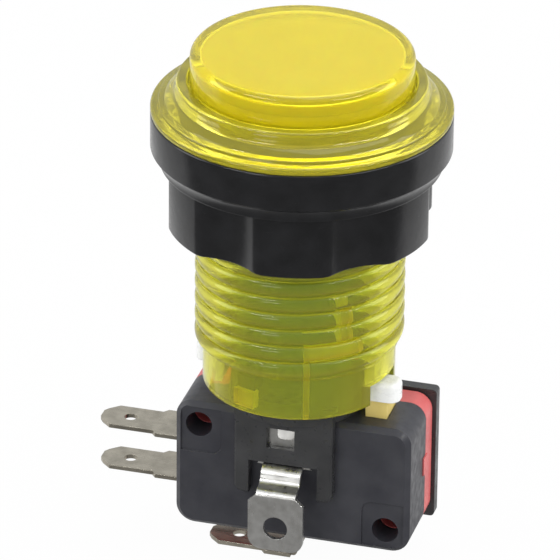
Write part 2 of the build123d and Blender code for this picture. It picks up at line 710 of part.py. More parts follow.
def lamp_lead(side):
    # wire folded up one face of the wedge
    y = side * (LAMP_WEDGE_WIDE / 2 + LEAD_THICK / 2 + 0.01)
    x = -side * LEAD_X
    half = LEAD_THICK / 2
    return block(x - LEAD_HALF, x + LEAD_HALF, y - half, y + half, WEDGE_BOTTOM + 0.6, NECK_TOP - 1.2)


def bulb():
    bottom = LAMP_COLLAR_TOP
    dome = rod(BULB_R, bottom, BULB_TOP)
    dome = fillet(dome.edges().sort_by(Axis.Z)[-1], BULB_R - 0.4)
    return dome + rod(BULB_R + 0.4, bottom, bottom + 1.2)


PARTS = {
    "bezel": bezel,
    "panel_nut": panel_nut,
    "cap_lens": cap_lens,
    "diffuser": diffuser,
    "plunger": plunger,
    "return_spring": return_spring,
    "switch_case": switch_case,
    "switch_cover": switch_cover,
    "switch_button": switch_button,
    "com_terminal": com_terminal,
    "nc_terminal": lambda: side_terminal(NC_Z),
    "no_terminal": lambda: side_terminal(NO_Z),
    "nc_contact": nc_contact,
    "no_contact": no_contact,
    "moving_contact": moving_contact,
    "snap_blade": snap_blade,
    "bow_spring": bow_spring,
    "lamp_holder": lamp_holder,
    "front_lamp_terminal": front_lamp_terminal,
    "rear_lamp_terminal": rear_lamp_terminal,
    "lamp_base": lamp_base,
    "lamp_lead_front": lambda: lamp_lead(-1),
    "lamp_lead_rear": lambda: lamp_lead(1),
    "bulb": bulb,
}

os.makedirs("parts", exist_ok=True)
for name, make in PARTS.items():
    export_step(make(), f"parts/{name}.step")
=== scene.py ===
import math

import bpy
from mathutils import Matrix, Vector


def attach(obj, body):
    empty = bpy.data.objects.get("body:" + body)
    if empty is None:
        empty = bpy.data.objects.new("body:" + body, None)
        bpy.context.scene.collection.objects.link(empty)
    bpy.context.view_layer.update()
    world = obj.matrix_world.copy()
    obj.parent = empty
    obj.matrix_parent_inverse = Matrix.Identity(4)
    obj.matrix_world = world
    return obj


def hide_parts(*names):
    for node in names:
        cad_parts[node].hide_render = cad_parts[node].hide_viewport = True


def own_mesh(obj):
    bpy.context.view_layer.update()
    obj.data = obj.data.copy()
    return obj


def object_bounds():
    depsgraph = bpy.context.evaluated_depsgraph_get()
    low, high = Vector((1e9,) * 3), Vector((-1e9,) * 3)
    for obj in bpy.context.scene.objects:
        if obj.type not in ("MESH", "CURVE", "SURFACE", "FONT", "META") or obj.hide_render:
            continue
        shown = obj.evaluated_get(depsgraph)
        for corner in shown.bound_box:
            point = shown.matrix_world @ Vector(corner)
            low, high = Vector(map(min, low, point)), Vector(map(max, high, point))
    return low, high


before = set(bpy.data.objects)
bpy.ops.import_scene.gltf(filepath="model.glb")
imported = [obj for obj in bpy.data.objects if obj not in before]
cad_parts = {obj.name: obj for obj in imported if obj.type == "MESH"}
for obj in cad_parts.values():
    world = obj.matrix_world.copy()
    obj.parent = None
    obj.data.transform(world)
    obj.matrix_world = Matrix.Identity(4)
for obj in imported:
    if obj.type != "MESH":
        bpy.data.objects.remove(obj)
cad_low, cad_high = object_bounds()
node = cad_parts


# The camera looks down at the button through a long lens, from in front and
# a little to the right, at the angle of the photograph.
sensor_width = 36
focal_pixels = 6080
photo_pixels = 560
camera_data = bpy.data.cameras.new("camera")
camera_data.sensor_width = sensor_width
camera_data.lens = sensor_width * focal_pixels / photo_pixels
camera_data.clip_start = 0.05
camera_data.clip_end = 6
camera = bpy.data.objects.new("camera", camera_data)
bpy.context.scene.collection.objects.link(camera)
camera.matrix_world = (
    Matrix.Translation((0.1621, -0.5906, 0.2947))
    @ Matrix.Rotation(math.radians(15.56), 4, "Z")
    @ Matrix.Rotation(math.radians(90 - 27.31), 4, "X")
    @ Matrix.Rotation(math.radians(0.62), 4, "Z")
)
bpy.context.scene.camera = camera
bpy.context.scene.view_settings.view_transform = "Standard"


# The table is a sheet of matt white board under the lowest terminal, and the
# room behind it is white where the camera or the clear plastic looks at it. Both
# are brighter than white through the plastic, as an overexposed backdrop is.
board_white = 0.97
room_diffuse = 0.98
through_gain = 0.16
mirror_front = 0.26
mirror_back = 0.75
bpy.ops.object.select_all(action="DESELECT")
bpy.ops.mesh.primitive_plane_add(size=3, location=(0, 0, cad_low.z - 0.0001))
table = bpy.context.active_object
table.name = "table"
board = bpy.data.materials.new("white_board")
board.use_nodes = True
board_nodes = board.node_tree.nodes
board_links = board.node_tree.links
board_shader = board_nodes["Principled BSDF"]
board_shader.inputs["Base Color"].default_value = (0.62, 0.62, 0.62, 1)
board_shader.inputs["Roughness"].default_value = 0.9
board_glow = board_nodes.new("ShaderNodeEmission")
board_path = board_nodes.new("ShaderNodeLightPath")
board_through = board_nodes.new("ShaderNodeMath")
board_through.operation = "MULTIPLY_ADD"
board_through.inputs[1].default_value = through_gain
board_through.inputs[2].default_value = 1
board_seen = board_nodes.new("ShaderNodeMath")
board_seen.operation = "MAXIMUM"
board_share = board_nodes.new("ShaderNodeMath")
board_share.operation = "MULTIPLY"
board_share.inputs[1].default_value = board_white
board_mix = board_nodes.new("ShaderNodeMixShader")
board_links.new(board_path.outputs["Is Camera Ray"], board_seen.inputs[0])
board_links.new(board_path.outputs["Is Transmission Ray"], board_seen.inputs[1])
board_links.new(board_path.outputs["Is Transmission Ray"], board_through.inputs[0])
board_links.new(board_through.outputs[0], board_glow.inputs["Strength"])
board_links.new(board_seen.outputs[0], board_share.inputs[0])
board_links.new(board_share.outputs[0], board_mix.inputs[0])
board_links.new(board_shader.outputs[0], board_mix.inputs[1])
board_links.new(board_glow.outputs[0], board_mix.inputs[2])

# a polished face mirrors the bright board behind the button, and the dimmer
# board in front of it
away = (-0.26, 0.965, 0)
board_place = board_nodes.new("ShaderNodeTexCoord")
board_depth = board_nodes.new("ShaderNodeVectorMath")
board_depth.operation = "DOT_PRODUCT"
board_depth.inputs[1].default_value = away
board_level = board_nodes.new("ShaderNodeMapRange")
board_level.inputs["From Min"].default_value = -0.01
board_level.inputs["From Max"].default_value = 0.012
board_level.inputs["To Min"].default_value = mirror_front
board_level.inputs["To Max"].default_value = mirror_back
board_mirror = board_nodes.new("ShaderNodeEmission")
board_mirrored = board_nodes.new("ShaderNodeMixShader")
board_links.new(board_place.outputs["Object"], board_depth.inputs[0])
board_links.new(board_depth.outputs["Value"], board_level.inputs["Value"])
board_links.new(board_level.outputs["Result"], board_mirror.inputs["Strength"])
board_links.new(board_path.outputs["Is Glossy Ray"], board_mirrored.inputs[0])
board_links.new(board_mix.outputs[0], board_mirrored.inputs[1])
board_links.new(board_mirror.outputs[0], board_mirrored.inputs[2])
board_surface = board_nodes["Material Output"].inputs["Surface"]
board_links.new(board_mirrored.outputs[0], board_surface)
table.data.materials.append(board)

room = bpy.data.worlds.new("white_room")
room.use_nodes = True
bpy.context.scene.world = room
room_nodes = room.node_tree.nodes
room_links = room.node_tree.links
room_dim = room_nodes["Background"]
room_dim.inputs["Color"].default_value = (0.96, 0.98, 1, 1)
room_white = room_nodes.new("ShaderNodeBackground")
room_white.inputs["Color"].default_value = (1, 1, 1, 1)
room_path = room_nodes.new("ShaderNodeLightPath")
room_through = room_nodes.new("ShaderNodeMath")
room_through.operation = "MULTIPLY_ADD"
room_through.inputs[1].default_value = through_gain
room_through.inputs[2].default_value = 1
room_seen = room_nodes.new("ShaderNodeMath")
room_seen.operation = "MAXIMUM"
room_mix = room_nodes.new("ShaderNodeMixShader")
room_links.new(room_path.outputs["Is Camera Ray"], room_seen.inputs[0])
room_links.new(room_path.outputs["Is Transmission Ray"], room_seen.inputs[1])
room_links.new(room_path.outputs["Is Transmission Ray"], room_through.inputs[0])
room_links.new(room_through.outputs[0], room_white.inputs["Strength"])
room_links.new(room_seen.outputs[0], room_mix.inputs[0])
room_links.new(room_dim.outputs[0], room_mix.inputs[1])
room_links.new(room_white.outputs[0], room_mix.inputs[2])
room_links.new(room_mix.outputs[0], room_nodes["World Output"].inputs["Surface"])

# a polished face mirrors the white room behind and above the button, and the
# dimmer end of the room in front
room_way = room_nodes.new("ShaderNodeTexCoord")
room_depth = room_nodes.new("ShaderNodeVectorMath")
room_depth.operation = "DOT_PRODUCT"
room_depth.inputs[1].default_value = away
room_back = room_nodes.new("ShaderNodeMapRange")
room_back.inputs["From Min"].default_value = -0.08
room_back.inputs["From Max"].default_value = 0.08
room_back.inputs["To Min"].default_value = mirror_front
room_back.inputs["To Max"].default_value = mirror_back
room_split = room_nodes.new("ShaderNodeSeparateXYZ")
room_above = room_nodes.new("ShaderNodeMapRange")
room_above.inputs["From Min"].default_value = 0.35
room_above.inputs["From Max"].default_value = 0.6
room_above.inputs["To Max"].default_value = mirror_back
room_bright = room_nodes.new("ShaderNodeMath")
room_bright.operation = "MAXIMUM"
room_level = room_nodes.new("ShaderNodeMix")
room_level.inputs[2].default_value = room_diffuse
room_links.new(room_way.outputs["Generated"], room_depth.inputs[0])
room_links.new(room_way.outputs["Generated"], room_split.inputs[0])
room_links.new(room_depth.outputs["Value"], room_back.inputs["Value"])
room_links.new(room_split.outputs["Z"], room_above.inputs["Value"])
room_links.new(room_back.outputs["Result"], room_bright.inputs[0])
room_links.new(room_above.outputs["Result"], room_bright.inputs[1])
room_links.new(room_path.outputs["Is Glossy Ray"], room_level.inputs[0])
room_links.new(room_bright.outputs[0], room_level.inputs[3])
room_links.new(room_level.outputs[0], room_dim.inputs["Strength"])


# Soft boxes: one over the button, one tall one at each side, two long narrow banks
# that draw the bright lines on the thread, and a low one for the lamp terminal.
def soft_box(name, place, target, wide, tall, power):
    lamp_data = bpy.data.lights.new(name, "AREA")
    lamp_data.shape = "RECTANGLE"
    lamp_data.size = wide
    lamp_data.size_y = tall
    lamp_data.energy = power
    lamp = bpy.data.objects.new(name, lamp_data)
    bpy.context.scene.collection.objects.link(lamp)
    lamp.location = place
    aim = [t - p for t, p in zip(target, place)]
    flat = math.hypot(aim[0], aim[1])
    lamp.rotation_euler = (math.atan2(flat, -aim[2]), 0, math.atan2(-aim[0], aim[1]))


soft_box("over", (0.05, 0.1, 0.55), (0, 0, 0), 0.5, 0.5, 1.35)
soft_box("left", (-0.5, -0.15, 0.12), (0, 0, -0.02), 0.25, 0.5, 0.75)
soft_box("right", (0.5, 0.15, 0.15), (0, 0, -0.02), 0.25, 0.5, 0.8)
soft_box("left_bank", (-0.263, -0.483, 0.33), (0, 0, -0.02), 0.34, 0.04, 0.75)
soft_box("right_bank", (0.5, -0.229, 0.33), (0, 0, -0.02), 0.42, 0.04, 0.85)
soft_box("front", (-0.16, -0.58, 0.005), (0, 0, -0.038), 0.2, 0.08, 0.16)


# Bezel: flange, collar and threaded barrel, moulded in one piece of clear yellow
# acrylic. The flange sits on the panel, the collar guides the cap, and two slots
# at the foot of the barrel let the plunger's feet reach out over the switch.
def start_material(name):
    made = bpy.data.materials.new(name)
    made.use_nodes = True
    place = made.node_tree.nodes.new("ShaderNodeTexCoord")
    place.name = "place"
    return made


def pattern(made, size, stretch=(1, 1, 1), detail=3):
    # random patches about `size` metres wide
    nodes = made.node_tree.nodes
    links = made.node_tree.links
    mapping = nodes.new("ShaderNodeMapping")
    mapping.inputs["Scale"].default_value = stretch
    links.new(nodes["place"].outputs["Object"], mapping.inputs["Vector"])
    noise = nodes.new("ShaderNodeTexNoise")
    noise.inputs["Scale"].default_value = 1 / size
    noise.inputs["Detail"].default_value = detail
    links.new(mapping.outputs["Vector"], noise.inputs["Vector"])
    return noise.outputs["Fac"]


def vary(made, value, socket, low, high, start=0.35, stop=0.65):
    # spreads a pattern between two values of one socket of the shader
    nodes = made.node_tree.nodes
    links = made.node_tree.links
    span = nodes.new("ShaderNodeMapRange")
    span.inputs["From Min"].default_value = start
    span.inputs["From Max"].default_value = stop
    span.inputs["To Min"].default_value = low
    span.inputs["To Max"].default_value = high
    links.new(value, span.inputs["Value"])
    links.new(span.outputs["Result"], nodes["Principled BSDF"].inputs[socket])


def tint(made, value, *stops):
    # colours a surface by a pattern, with (place, colour) stops
    nodes = made.node_tree.nodes
    links = made.node_tree.links
    ramp = nodes.new("ShaderNodeValToRGB")
    for number, (place, colour) in enumerate(stops):
        if number < 2:
            stop = ramp.color_ramp.elements[number]
            stop.position = place
        else:
            stop = ramp.color_ramp.elements.new(place)
        stop.color = (*colour, 1)
    links.new(value, ramp.inputs["Fac"])
    links.new(ramp.outputs["Color"], nodes["Principled BSDF"].inputs["Base Color"])


def painted_see_through_shade(made, colour, stop, height):
    # paints shade: draws the colour towards another where a face below a height is seen
    # square on, a painted tint for the dark parts seen through the clear plastic
    nodes = made.node_tree.nodes
    links = made.node_tree.links
    base = nodes["Principled BSDF"].inputs["Base Color"]
    slant = nodes.new("ShaderNodeLayerWeight")
    share = nodes.new("ShaderNodeMapRange")
    share.inputs["From Max"].default_value = stop
    mix = nodes.new("ShaderNodeMix")
    mix.data_type = "RGBA"
    mix.inputs[6].default_value = (*colour, 1)
    split = nodes.new("ShaderNodeSeparateXYZ")
    above = nodes.new("ShaderNodeMapRange")
    above.inputs["From Min"].default_value = height
    above.inputs["From Max"].default_value = height + 0.003
    either = nodes.new("ShaderNodeMath")
    either.operation = "MAXIMUM"
    links.new(slant.outputs["Facing"], share.inputs["Value"])
    links.new(nodes["place"].outputs["Object"], split.inputs[0])
    links.new(split.outputs["Z"], above.inputs["Value"])
    links.new(share.outputs["Result"], either.inputs[0])
    links.new(above.outputs["Result"], either.inputs[1])
    links.new(either.outputs[0], mix.inputs[0])
    links.new(base.links[0].from_socket, mix.inputs[7])
    links.new(mix.outputs[2], base)


def relief(made, value, height, rounding=0.0):
    # raises the surface by a pattern, and softens sharp edges where asked
    nodes = made.node_tree.nodes
    links = made.node_tree.links
    bump = nodes.new("ShaderNodeBump")
    bump.inputs["Distance"].default_value = height
    links.new(value, bump.inputs["Height"])
    if rounding:
        edge = nodes.new("ShaderNodeBevel")
        edge.inputs["Radius"].default_value = rounding
        links.new(edge.outputs["Normal"], bump.inputs["Normal"])
    links.new(bump.outputs["Normal"], nodes["Principled BSDF"].inputs["Normal"])


joined = 0.000002  # points closer than this, in metres, become one


def drawn(name, stations):
    # a line through stations in millimetres, left open in edit mode
    bpy.ops.object.select_all(action="DESELECT")
    at = stations[0]
    begin = [value / 1000 for value in at]
    bpy.ops.mesh.primitive_plane_add(size=0.0001, location=begin)
    piece = bpy.context.active_object
    piece.name = name
    bpy.ops.object.mode_set(mode="EDIT")
    bpy.ops.mesh.select_mode(type="VERT")
    bpy.ops.mesh.select_all(action="SELECT")
    bpy.ops.mesh.merge(type="CENTER")
    for point in stations[1:]:
        step = [(b - a) / 1000 for a, b in zip(at, point)]
        bpy.ops.mesh.extrude_vertices_move(TRANSFORM_OT_translate={"value": step})
        at = point
    bpy.ops.mesh.select_all(action="SELECT")
    bpy.ops.mesh.remove_doubles(threshold=joined)
    return piece


def spun(name, outline, steps=192, start=0, turn=360):
    # a line of (radius, height) stations spun clockwise about the button's axis
    piece = drawn(name, [(radius, 0, height) for radius, height in outline])
    if start:
        bpy.ops.transform.rotate(
            value=-math.radians(start), orient_axis="Z", center_override=(0, 0, 0)
        )
    bpy.ops.mesh.select_all(action="SELECT")
    bpy.ops.mesh.spin(
        steps=steps, angle=math.radians(turn), center=(0, 0, 0), axis=(0, 0, 1)
    )
    bpy.ops.mesh.select_all(action="SELECT")
    bpy.ops.mesh.remove_doubles(threshold=joined)
    if turn < 360:
        bpy.ops.mesh.select_all(action="DESELECT")
        bpy.ops.mesh.select_non_manifold()
        bpy.ops.mesh.fill_holes(sides=0)
        bpy.ops.mesh.select_all(action="SELECT")
    bpy.ops.mesh.normals_make_consistent(inside=False)
    bpy.ops.object.mode_set(mode="OBJECT")
    bpy.ops.object.transform_apply(location=True, rotation=True, scale=True)
    return piece


def arc(x, z, radius, start, stop, count=6):
    # stations round a corner, angles in degrees from outwards towards up
    stations = []
    for number in range(count + 1):
        angle = math.radians(start + (stop - start) * number / count)
        stations.append((x + radius * math.cos(angle), z + radius * math.sin(angle)))
    return stations


def cut_block(name, low, high):
    # a block between two corners in millimetres
    bpy.ops.object.select_all(action="DESELECT")
    middle = [(a + b) / 2000 for a, b in zip(low, high)]
    bpy.ops.mesh.primitive_cube_add(size=1, location=middle)
    piece = bpy.context.active_object
    piece.name = name
    piece.scale = [(b - a) / 1000 for a, b in zip(low, high)]
    bpy.ops.object.transform_apply(location=True, rotation=True, scale=True)
    return piece


def merge_solid(piece, other, operation):
    # adds a solid to a piece, or cuts it away, and removes the tool
    bpy.ops.object.select_all(action="DESELECT")
    piece.select_set(True)
    bpy.context.view_layer.objects.active = piece
    step = piece.modifiers.new("solid", "BOOLEAN")
    step.operation = operation
    step.solver = "EXACT"
    step.object = other
    bpy.ops.object.modifier_apply(modifier=step.name)
    bpy.data.objects.remove(other)


def smooth(piece, angle=32):
    bpy.ops.object.select_all(action="DESELECT")
    piece.select_set(True)
    bpy.context.view_layer.objects.active = piece
    bpy.ops.object.shade_smooth_by_angle(angle=math.radians(angle))


barrel_end = -33.7
barrel_radius = 11.4
foot_radius = 11.0
bore_radius = 9.7
wall_radius = 9.9  # inner solids reach this far into the wall
thread_end = -28.1
bezel = spun(
    "bezel_clear",
    [(12.87, 0.9), (12.87, 3.35)]
    + arc(13.12, 3.4, 0.3, 180, 90)
    + arc(13.8, 3.4, 0.3, 90, 0)
    + [(14.16, 2.9)]
    + arc(15.2, 2.85, 1.0, 180, 240)
    + [(15.3, 1.62), (15.42, 1.42), (15.95, 1.3)]
    + arc(15.95, 1.15, 0.15, 90, 10, 3)
    + [(16.14, 0.95), (16.5, 0.82)]
    + arc(16.6, 0.42, 0.4, 80, 0)
    + arc(16.85, 0.15, 0.15, 0, -90, 3)
    + [(barrel_radius, 0), (barrel_radius, thread_end)]
    + [(foot_radius, -28.6), (foot_radius, barrel_end + 0.3)]
    + arc(10.7, barrel_end + 0.3, 0.3, 0, -90, 3)
    + [(9.9, barrel_end), (bore_radius, barrel_end + 0.2), (bore_radius, 0.6)]
    + arc(10.0, 0.6, 0.3, 180, 90, 3)
    + [(12.87, 0.9)],
)

# the thread is a rounded ridge wound twelve times round the barrel
pitch = 2.04
thread_turns = 12
ridge_half = 0.44 * pitch
ridge_rise = 0.55
ridge_root = 10.8
ridge_stations = 12
ridge_outline = [
    (ridge_root, thread_end - ridge_half),
    (barrel_radius, thread_end - ridge_half),
]
for number in range(1, ridge_stations):
    share = number / ridge_stations
    rise = ridge_rise * math.sin(math.pi * share) ** 0.8
    height = thread_end - ridge_half * math.cos(math.pi * share)
    ridge_outline.append((barrel_radius + rise, height))
ridge_outline += [
    (barrel_radius, thread_end + ridge_half),
    (ridge_root, thread_end + ridge_half),
]
ridge_outline.append(ridge_outline[0])
thread = drawn("thread", [(radius, 0, height) for radius, height in ridge_outline])
bpy.ops.object.mode_set(mode="OBJECT")
bpy.ops.object.transform_apply(location=True, rotation=True, scale=True)
winding = thread.modifiers.new("winding", "SCREW")
winding.axis = "Z"
winding.angle = math.radians(360)
winding.screw_offset = pitch / 1000
winding.iterations = thread_turns
winding.steps = 96
winding.render_steps = 96
winding.use_merge_vertices = False
bpy.ops.object.modifier_apply(modifier=winding.name)
thread.rotation_euler = (0, 0, math.radians(90))
bpy.ops.object.transform_apply(location=True, rotation=True, scale=True)
bpy.ops.object.mode_set(mode="EDIT")
bpy.ops.mesh.select_all(action="DESELECT")
bpy.ops.mesh.select_non_manifold()
bpy.ops.mesh.fill_holes(sides=0)
bpy.ops.mesh.select_all(action="SELECT")
bpy.ops.mesh.normals_make_consistent(inside=False)
bpy.ops.object.mode_set(mode="OBJECT")
merge_solid(bezel, thread, "UNION")

# inside: the web that carries the spring, and on each side a rib, a ledge, a
# stop and a catch that take the turn of the lamp holder
web_radius = 7.35
web_low = -17.2
web_high = -15.7
web_outline = [(web_radius, web_low), (wall_radius, web_low)]
web_outline += [(wall_radius, web_high), (web_radius, web_high), (web_radius, web_low)]
web = spun("web", web_outline)
merge_solid(web, cut_block("leg_gap", (-20, -3, -18.2), (20, 3, 0)), "DIFFERENCE")
merge_solid(bezel, web, "UNION")
for side in (0, 180):
    for inner, first, last, low, high in (
        (8.8, 18.3, 22.3, barrel_end, barrel_end + 7.4),
        (8.5, 18.3, 58, barrel_end + 7.0, barrel_end + 8.8),
        (8.5, 42, 50, barrel_end + 8.8, barrel_end + 13.7),
        (8.6, -30, -15, barrel_end + 0.3, barrel_end + 2.3),
    ):
        lump = spun(
            "lump",
            [
                (inner, low),
                (wall_radius, low),
                (wall_radius, high),
                (inner, high),
                (inner, low),
            ],
            steps=8,
            start=last - 90 + side,
            turn=last - first,
        )
        merge_solid(bezel, lump, "UNION")
slot_low = barrel_end - 1
slot_top = barrel_end + 2.6
slot = cut_block("slot_right", (0, -5, slot_low), (20, 0.8, slot_top))
merge_solid(bezel, slot, "DIFFERENCE")
slot = cut_block("slot_left", (-20, -0.8, slot_low), (0, 5, slot_top))
merge_solid(bezel, slot, "DIFFERENCE")
smooth(bezel, 38)

clear_yellow = start_material("clear_yellow_acrylic")
flow = pattern(clear_yellow, 0.004, (1, 1, 0.4))
tint(clear_yellow, flow, (0.3, (1.0, 0.91, 0.06)), (0.7, (1.0, 0.92, 0.08)))
# painted shade: the barrel is drawn greener where seen square on, for the dark lamp holder
# showing through its middle
painted_see_through_shade(clear_yellow, (0.74, 0.92, 0.1), 0.4, -0.014)
vary(clear_yellow, pattern(clear_yellow, 0.0015), "Roughness", 0.03, 0.09)
relief(clear_yellow, pattern(clear_yellow, 0.0025, (1, 1, 0.6)), 0.00003)
acrylic_index = 1.49
acrylic = clear_yellow.node_tree.nodes["Principled BSDF"]
acrylic.inputs["Transmission Weight"].default_value = 0.86
acrylic.inputs["IOR"].default_value = acrylic_index
bezel.data.materials.append(clear_yellow)

# the lumps inside the barrel are left matt from the mould, and catch the light
matt_yellow = start_material("matt_yellow_acrylic")
tint(
    matt_yellow,
    pattern(matt_yellow, 0.002),
    (0.3, (1.0, 0.82, 0.02)),
    (0.7, (1.0, 0.88, 0.05)),
)
vary(matt_yellow, pattern(matt_yellow, 0.0005), "Roughness", 0.3, 0.5)
relief(matt_yellow, pattern(matt_yellow, 0.0006), 0.00002)
matt_acrylic = matt_yellow.node_tree.nodes["Principled BSDF"]
matt_acrylic.inputs["Transmission Weight"].default_value = 0.5
matt_acrylic.inputs["IOR"].default_value = acrylic_index
bezel.data.materials.append(matt_yellow)
lump_reach = 0.00966
lump_top = -0.0195
for face in bezel.data.polygons:
    away_from_axis = math.hypot(face.center.x, face.center.y)
    if away_from_axis < lump_reach and face.center.z < lump_top:
        face.material_index = 1
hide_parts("bezel")
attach(bezel, "housing")


# Nut: a round ring that bears on the panel, with a grip of six lobes below it,
# moulded in black nylon. It runs on the thread of the barrel.
nut_bore = 12.05
nut_top = -0.04
ring_low = -6.24
nut = spun(
    "nut_ring",
    [(nut_bore, nut_top)]
    + arc(16.75, -0.29, 0.25, 90, 0, 4)
    + arc(16.85, -4.2, 0.15, 0, -60, 3)
    + [(16.45, -4.72)]
    + arc(15.75, -6.0, 0.24, 20, -90, 4)
    + [(nut_bore, ring_low), (nut_bore, nut_top)],
)

# the grip's outline: six lobes with rounded shoulders and a shallow flute between
# each two, drawn flat and then pulled up into the ring
grip_radius = 15.2
grip_low = -13.6
grip_tall = 0.0076
flutes = 6
flute_turn = 60
first_flute = 41.6 - 90
flute_depth = 1.4
flute_radius = 8
flute_away = grip_radius - flute_depth + flute_radius
shoulder = 2.2
shoulder_away = grip_radius - shoulder
reach = math.acos(
    (shoulder_away**2 + flute_away**2 - (flute_radius + shoulder) ** 2)
    / (2 * shoulder_away * flute_away)
)
tilt = math.atan2(
    shoulder_away * math.sin(reach), flute_away - shoulder_away * math.cos(reach)
)


def turned(radius, angle, centre_x=0.0, centre_y=0.0):
    # a station of the grip's outline, seen from a centre
    return (
        centre_x + radius * math.cos(angle),
        centre_y + radius * math.sin(angle),
        grip_low,
    )


grip_outline = []
for flute in range(flutes):
    middle = math.radians(first_flute + flute_turn * flute)
    for side in (-1, 1):
        centre_x = shoulder_away * math.cos(middle + side * reach)
        centre_y = shoulder_away * math.sin(middle + side * reach)
        round_off = []
        for number in range(9):
            share = number / 8
            angle = middle + side * (reach * (1 - share) - tilt * share)
            round_off.append(turned(shoulder, angle, centre_x, centre_y))
        if side == 1:
            hollow_x = flute_away * math.cos(middle)
            hollow_y = flute_away * math.sin(middle)
            for number in range(1, 12):
                angle = middle + math.pi + tilt * (1 - number / 6)
                grip_outline.append(turned(flute_radius, angle, hollow_x, hollow_y))
            round_off.reverse()
        grip_outline += round_off
    first = middle + reach
    for number in range(1, 10):
        angle = first + (math.radians(flute_turn) - 2 * reach) * number / 10
        grip_outline.append(turned(grip_radius, angle))
grip = drawn("grip", grip_outline + grip_outline[:1])
bpy.ops.mesh.select_all(action="SELECT")
bpy.ops.mesh.edge_face_add()
bpy.ops.mesh.extrude_region_move(TRANSFORM_OT_translate={"value": (0, 0, grip_tall)})
bpy.ops.mesh.select_all(action="SELECT")
bpy.ops.mesh.normals_make_consistent(inside=False)
bpy.ops.object.mode_set(mode="OBJECT")
bpy.ops.object.transform_apply(location=True, rotation=True, scale=True)
bpy.ops.object.select_all(action="DESELECT")
bpy.ops.mesh.primitive_cylinder_add(
    vertices=192, radius=nut_bore / 1000, depth=0.02, location=(0, 0, -0.01)
)
bore = bpy.context.active_object
bpy.ops.object.transform_apply(location=True, rotation=True, scale=True)
merge_solid(grip, bore, "DIFFERENCE")
bpy.ops.object.select_all(action="DESELECT")
grip.select_set(True)
bpy.context.view_layer.objects.active = grip
edge_round = grip.modifiers.new("edge_round", "BEVEL")
edge_round.width = 0.00025
edge_round.segments = 3
edge_round.limit_method = "ANGLE"
edge_round.angle_limit = math.radians(50)
bpy.ops.object.modifier_apply(modifier=edge_round.name)
merge_solid(nut, grip, "UNION")
nut.name = "nut_black"
smooth(nut, 30)

black_nylon = start_material("black_nylon")
tint(
    black_nylon,
    pattern(black_nylon, 0.003, detail=6),
    (0.35, (0.005, 0.005, 0.0055)),
    (0.7, (0.01, 0.01, 0.011)),
)
scuff = pattern(black_nylon, 0.0009, (1, 1, 6), detail=8)
vary(black_nylon, scuff, "Roughness", 0.1, 0.3, 0.45, 0.75)
relief(black_nylon, pattern(black_nylon, 0.0012, detail=5), 0.00002)
nut.data.materials.append(black_nylon)
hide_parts("panel_nut")
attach(nut, "nut")


# Cap: a shallow cup of clear yellow acrylic with a rounded rim, pushed down over
# the diffuser. Its face is flat and polished.
cap_face = 7.3
cap_ceiling = 6.05
cap = spun(
    "cap_clear",
    [(0, cap_face), (3, cap_face), (8, cap_face)]
    + arc(11.7, 6.4, 0.9, 90, 0, 10)
    + [(12.6, 5.5)]
    + arc(12.45, 3.45, 0.15, 0, -90, 3)
    + [(11.65, 3.3), (11.5, 3.45)]
    + arc(11.2, 5.75, 0.3, 0, 90, 4)
    + [(8, cap_ceiling), (0, cap_ceiling)],
)
smooth(cap)
cap_yellow = start_material("cap_yellow_acrylic")
tint(
    cap_yellow,
    pattern(cap_yellow, 0.006),
    (0.3, (1.0, 0.88, 0.03)),
    (0.7, (1.0, 0.89, 0.04)),
)
vary(cap_yellow, pattern(cap_yellow, 0.0012, detail=6), "Roughness", 0.02, 0.07)
relief(cap_yellow, pattern(cap_yellow, 0.004), 0.00002)
cap_shader = cap_yellow.node_tree.nodes["Principled BSDF"]
cap_shader.inputs["Transmission Weight"].default_value = 0.84
cap_shader.inputs["IOR"].default_value = acrylic_index
cap.data.materials.append(cap_yellow)
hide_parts("cap_lens")
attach(cap, "cap")


# Diffuser: a disc of milky plastic under the lens that spreads the lamp's light,
# with the ring, the guide tube and the legs of the plunger below it.
disc_high = 6.02
disc_low = 4.67
disc = spun(
    "diffuser_disc",
    [(0, disc_high)]
    + arc(11.1, 5.72, 0.3, 90, 0, 5)
    + arc(11.3, 4.77, 0.1, 0, -90, 2)
    + [(0, disc_low)],
)
smooth(disc)
milky = start_material("milky_plastic")
tint(
    milky,
    pattern(milky, 0.008, detail=2),
    (0.3, (0.71, 0.7, 0.66)),
    (0.7, (0.75, 0.74, 0.71)),
)
vary(milky, pattern(milky, 0.0008), "Roughness", 0.3, 0.45)
relief(milky, pattern(milky, 0.0006), 0.00001)
milky_shader = milky.node_tree.nodes["Principled BSDF"]
milky_shader.inputs["Subsurface Weight"].default_value = 0.3
milky_shader.inputs["Subsurface Scale"].default_value = 0.001
disc.data.materials.append(milky)
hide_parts("diffuser")
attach(disc, "cap")


def dress(made, *names):
    # gives carried-over parts their finish
    for name in names:
        for place in node[name].material_slots:
            place.material = made


plunger_white = start_material("plunger_white")
tint(
    plunger_white,
    pattern(plunger_white, 0.004),
    (0.3, (0.76, 0.76, 0.74)),
    (0.7, (0.82, 0.82, 0.8)),
)
vary(plunger_white, pattern(plunger_white, 0.0007), "Roughness", 0.22, 0.4)
relief(plunger_white, pattern(plunger_white, 0.0006), 0.000003, 0.00015)
dress(plunger_white, "plunger")
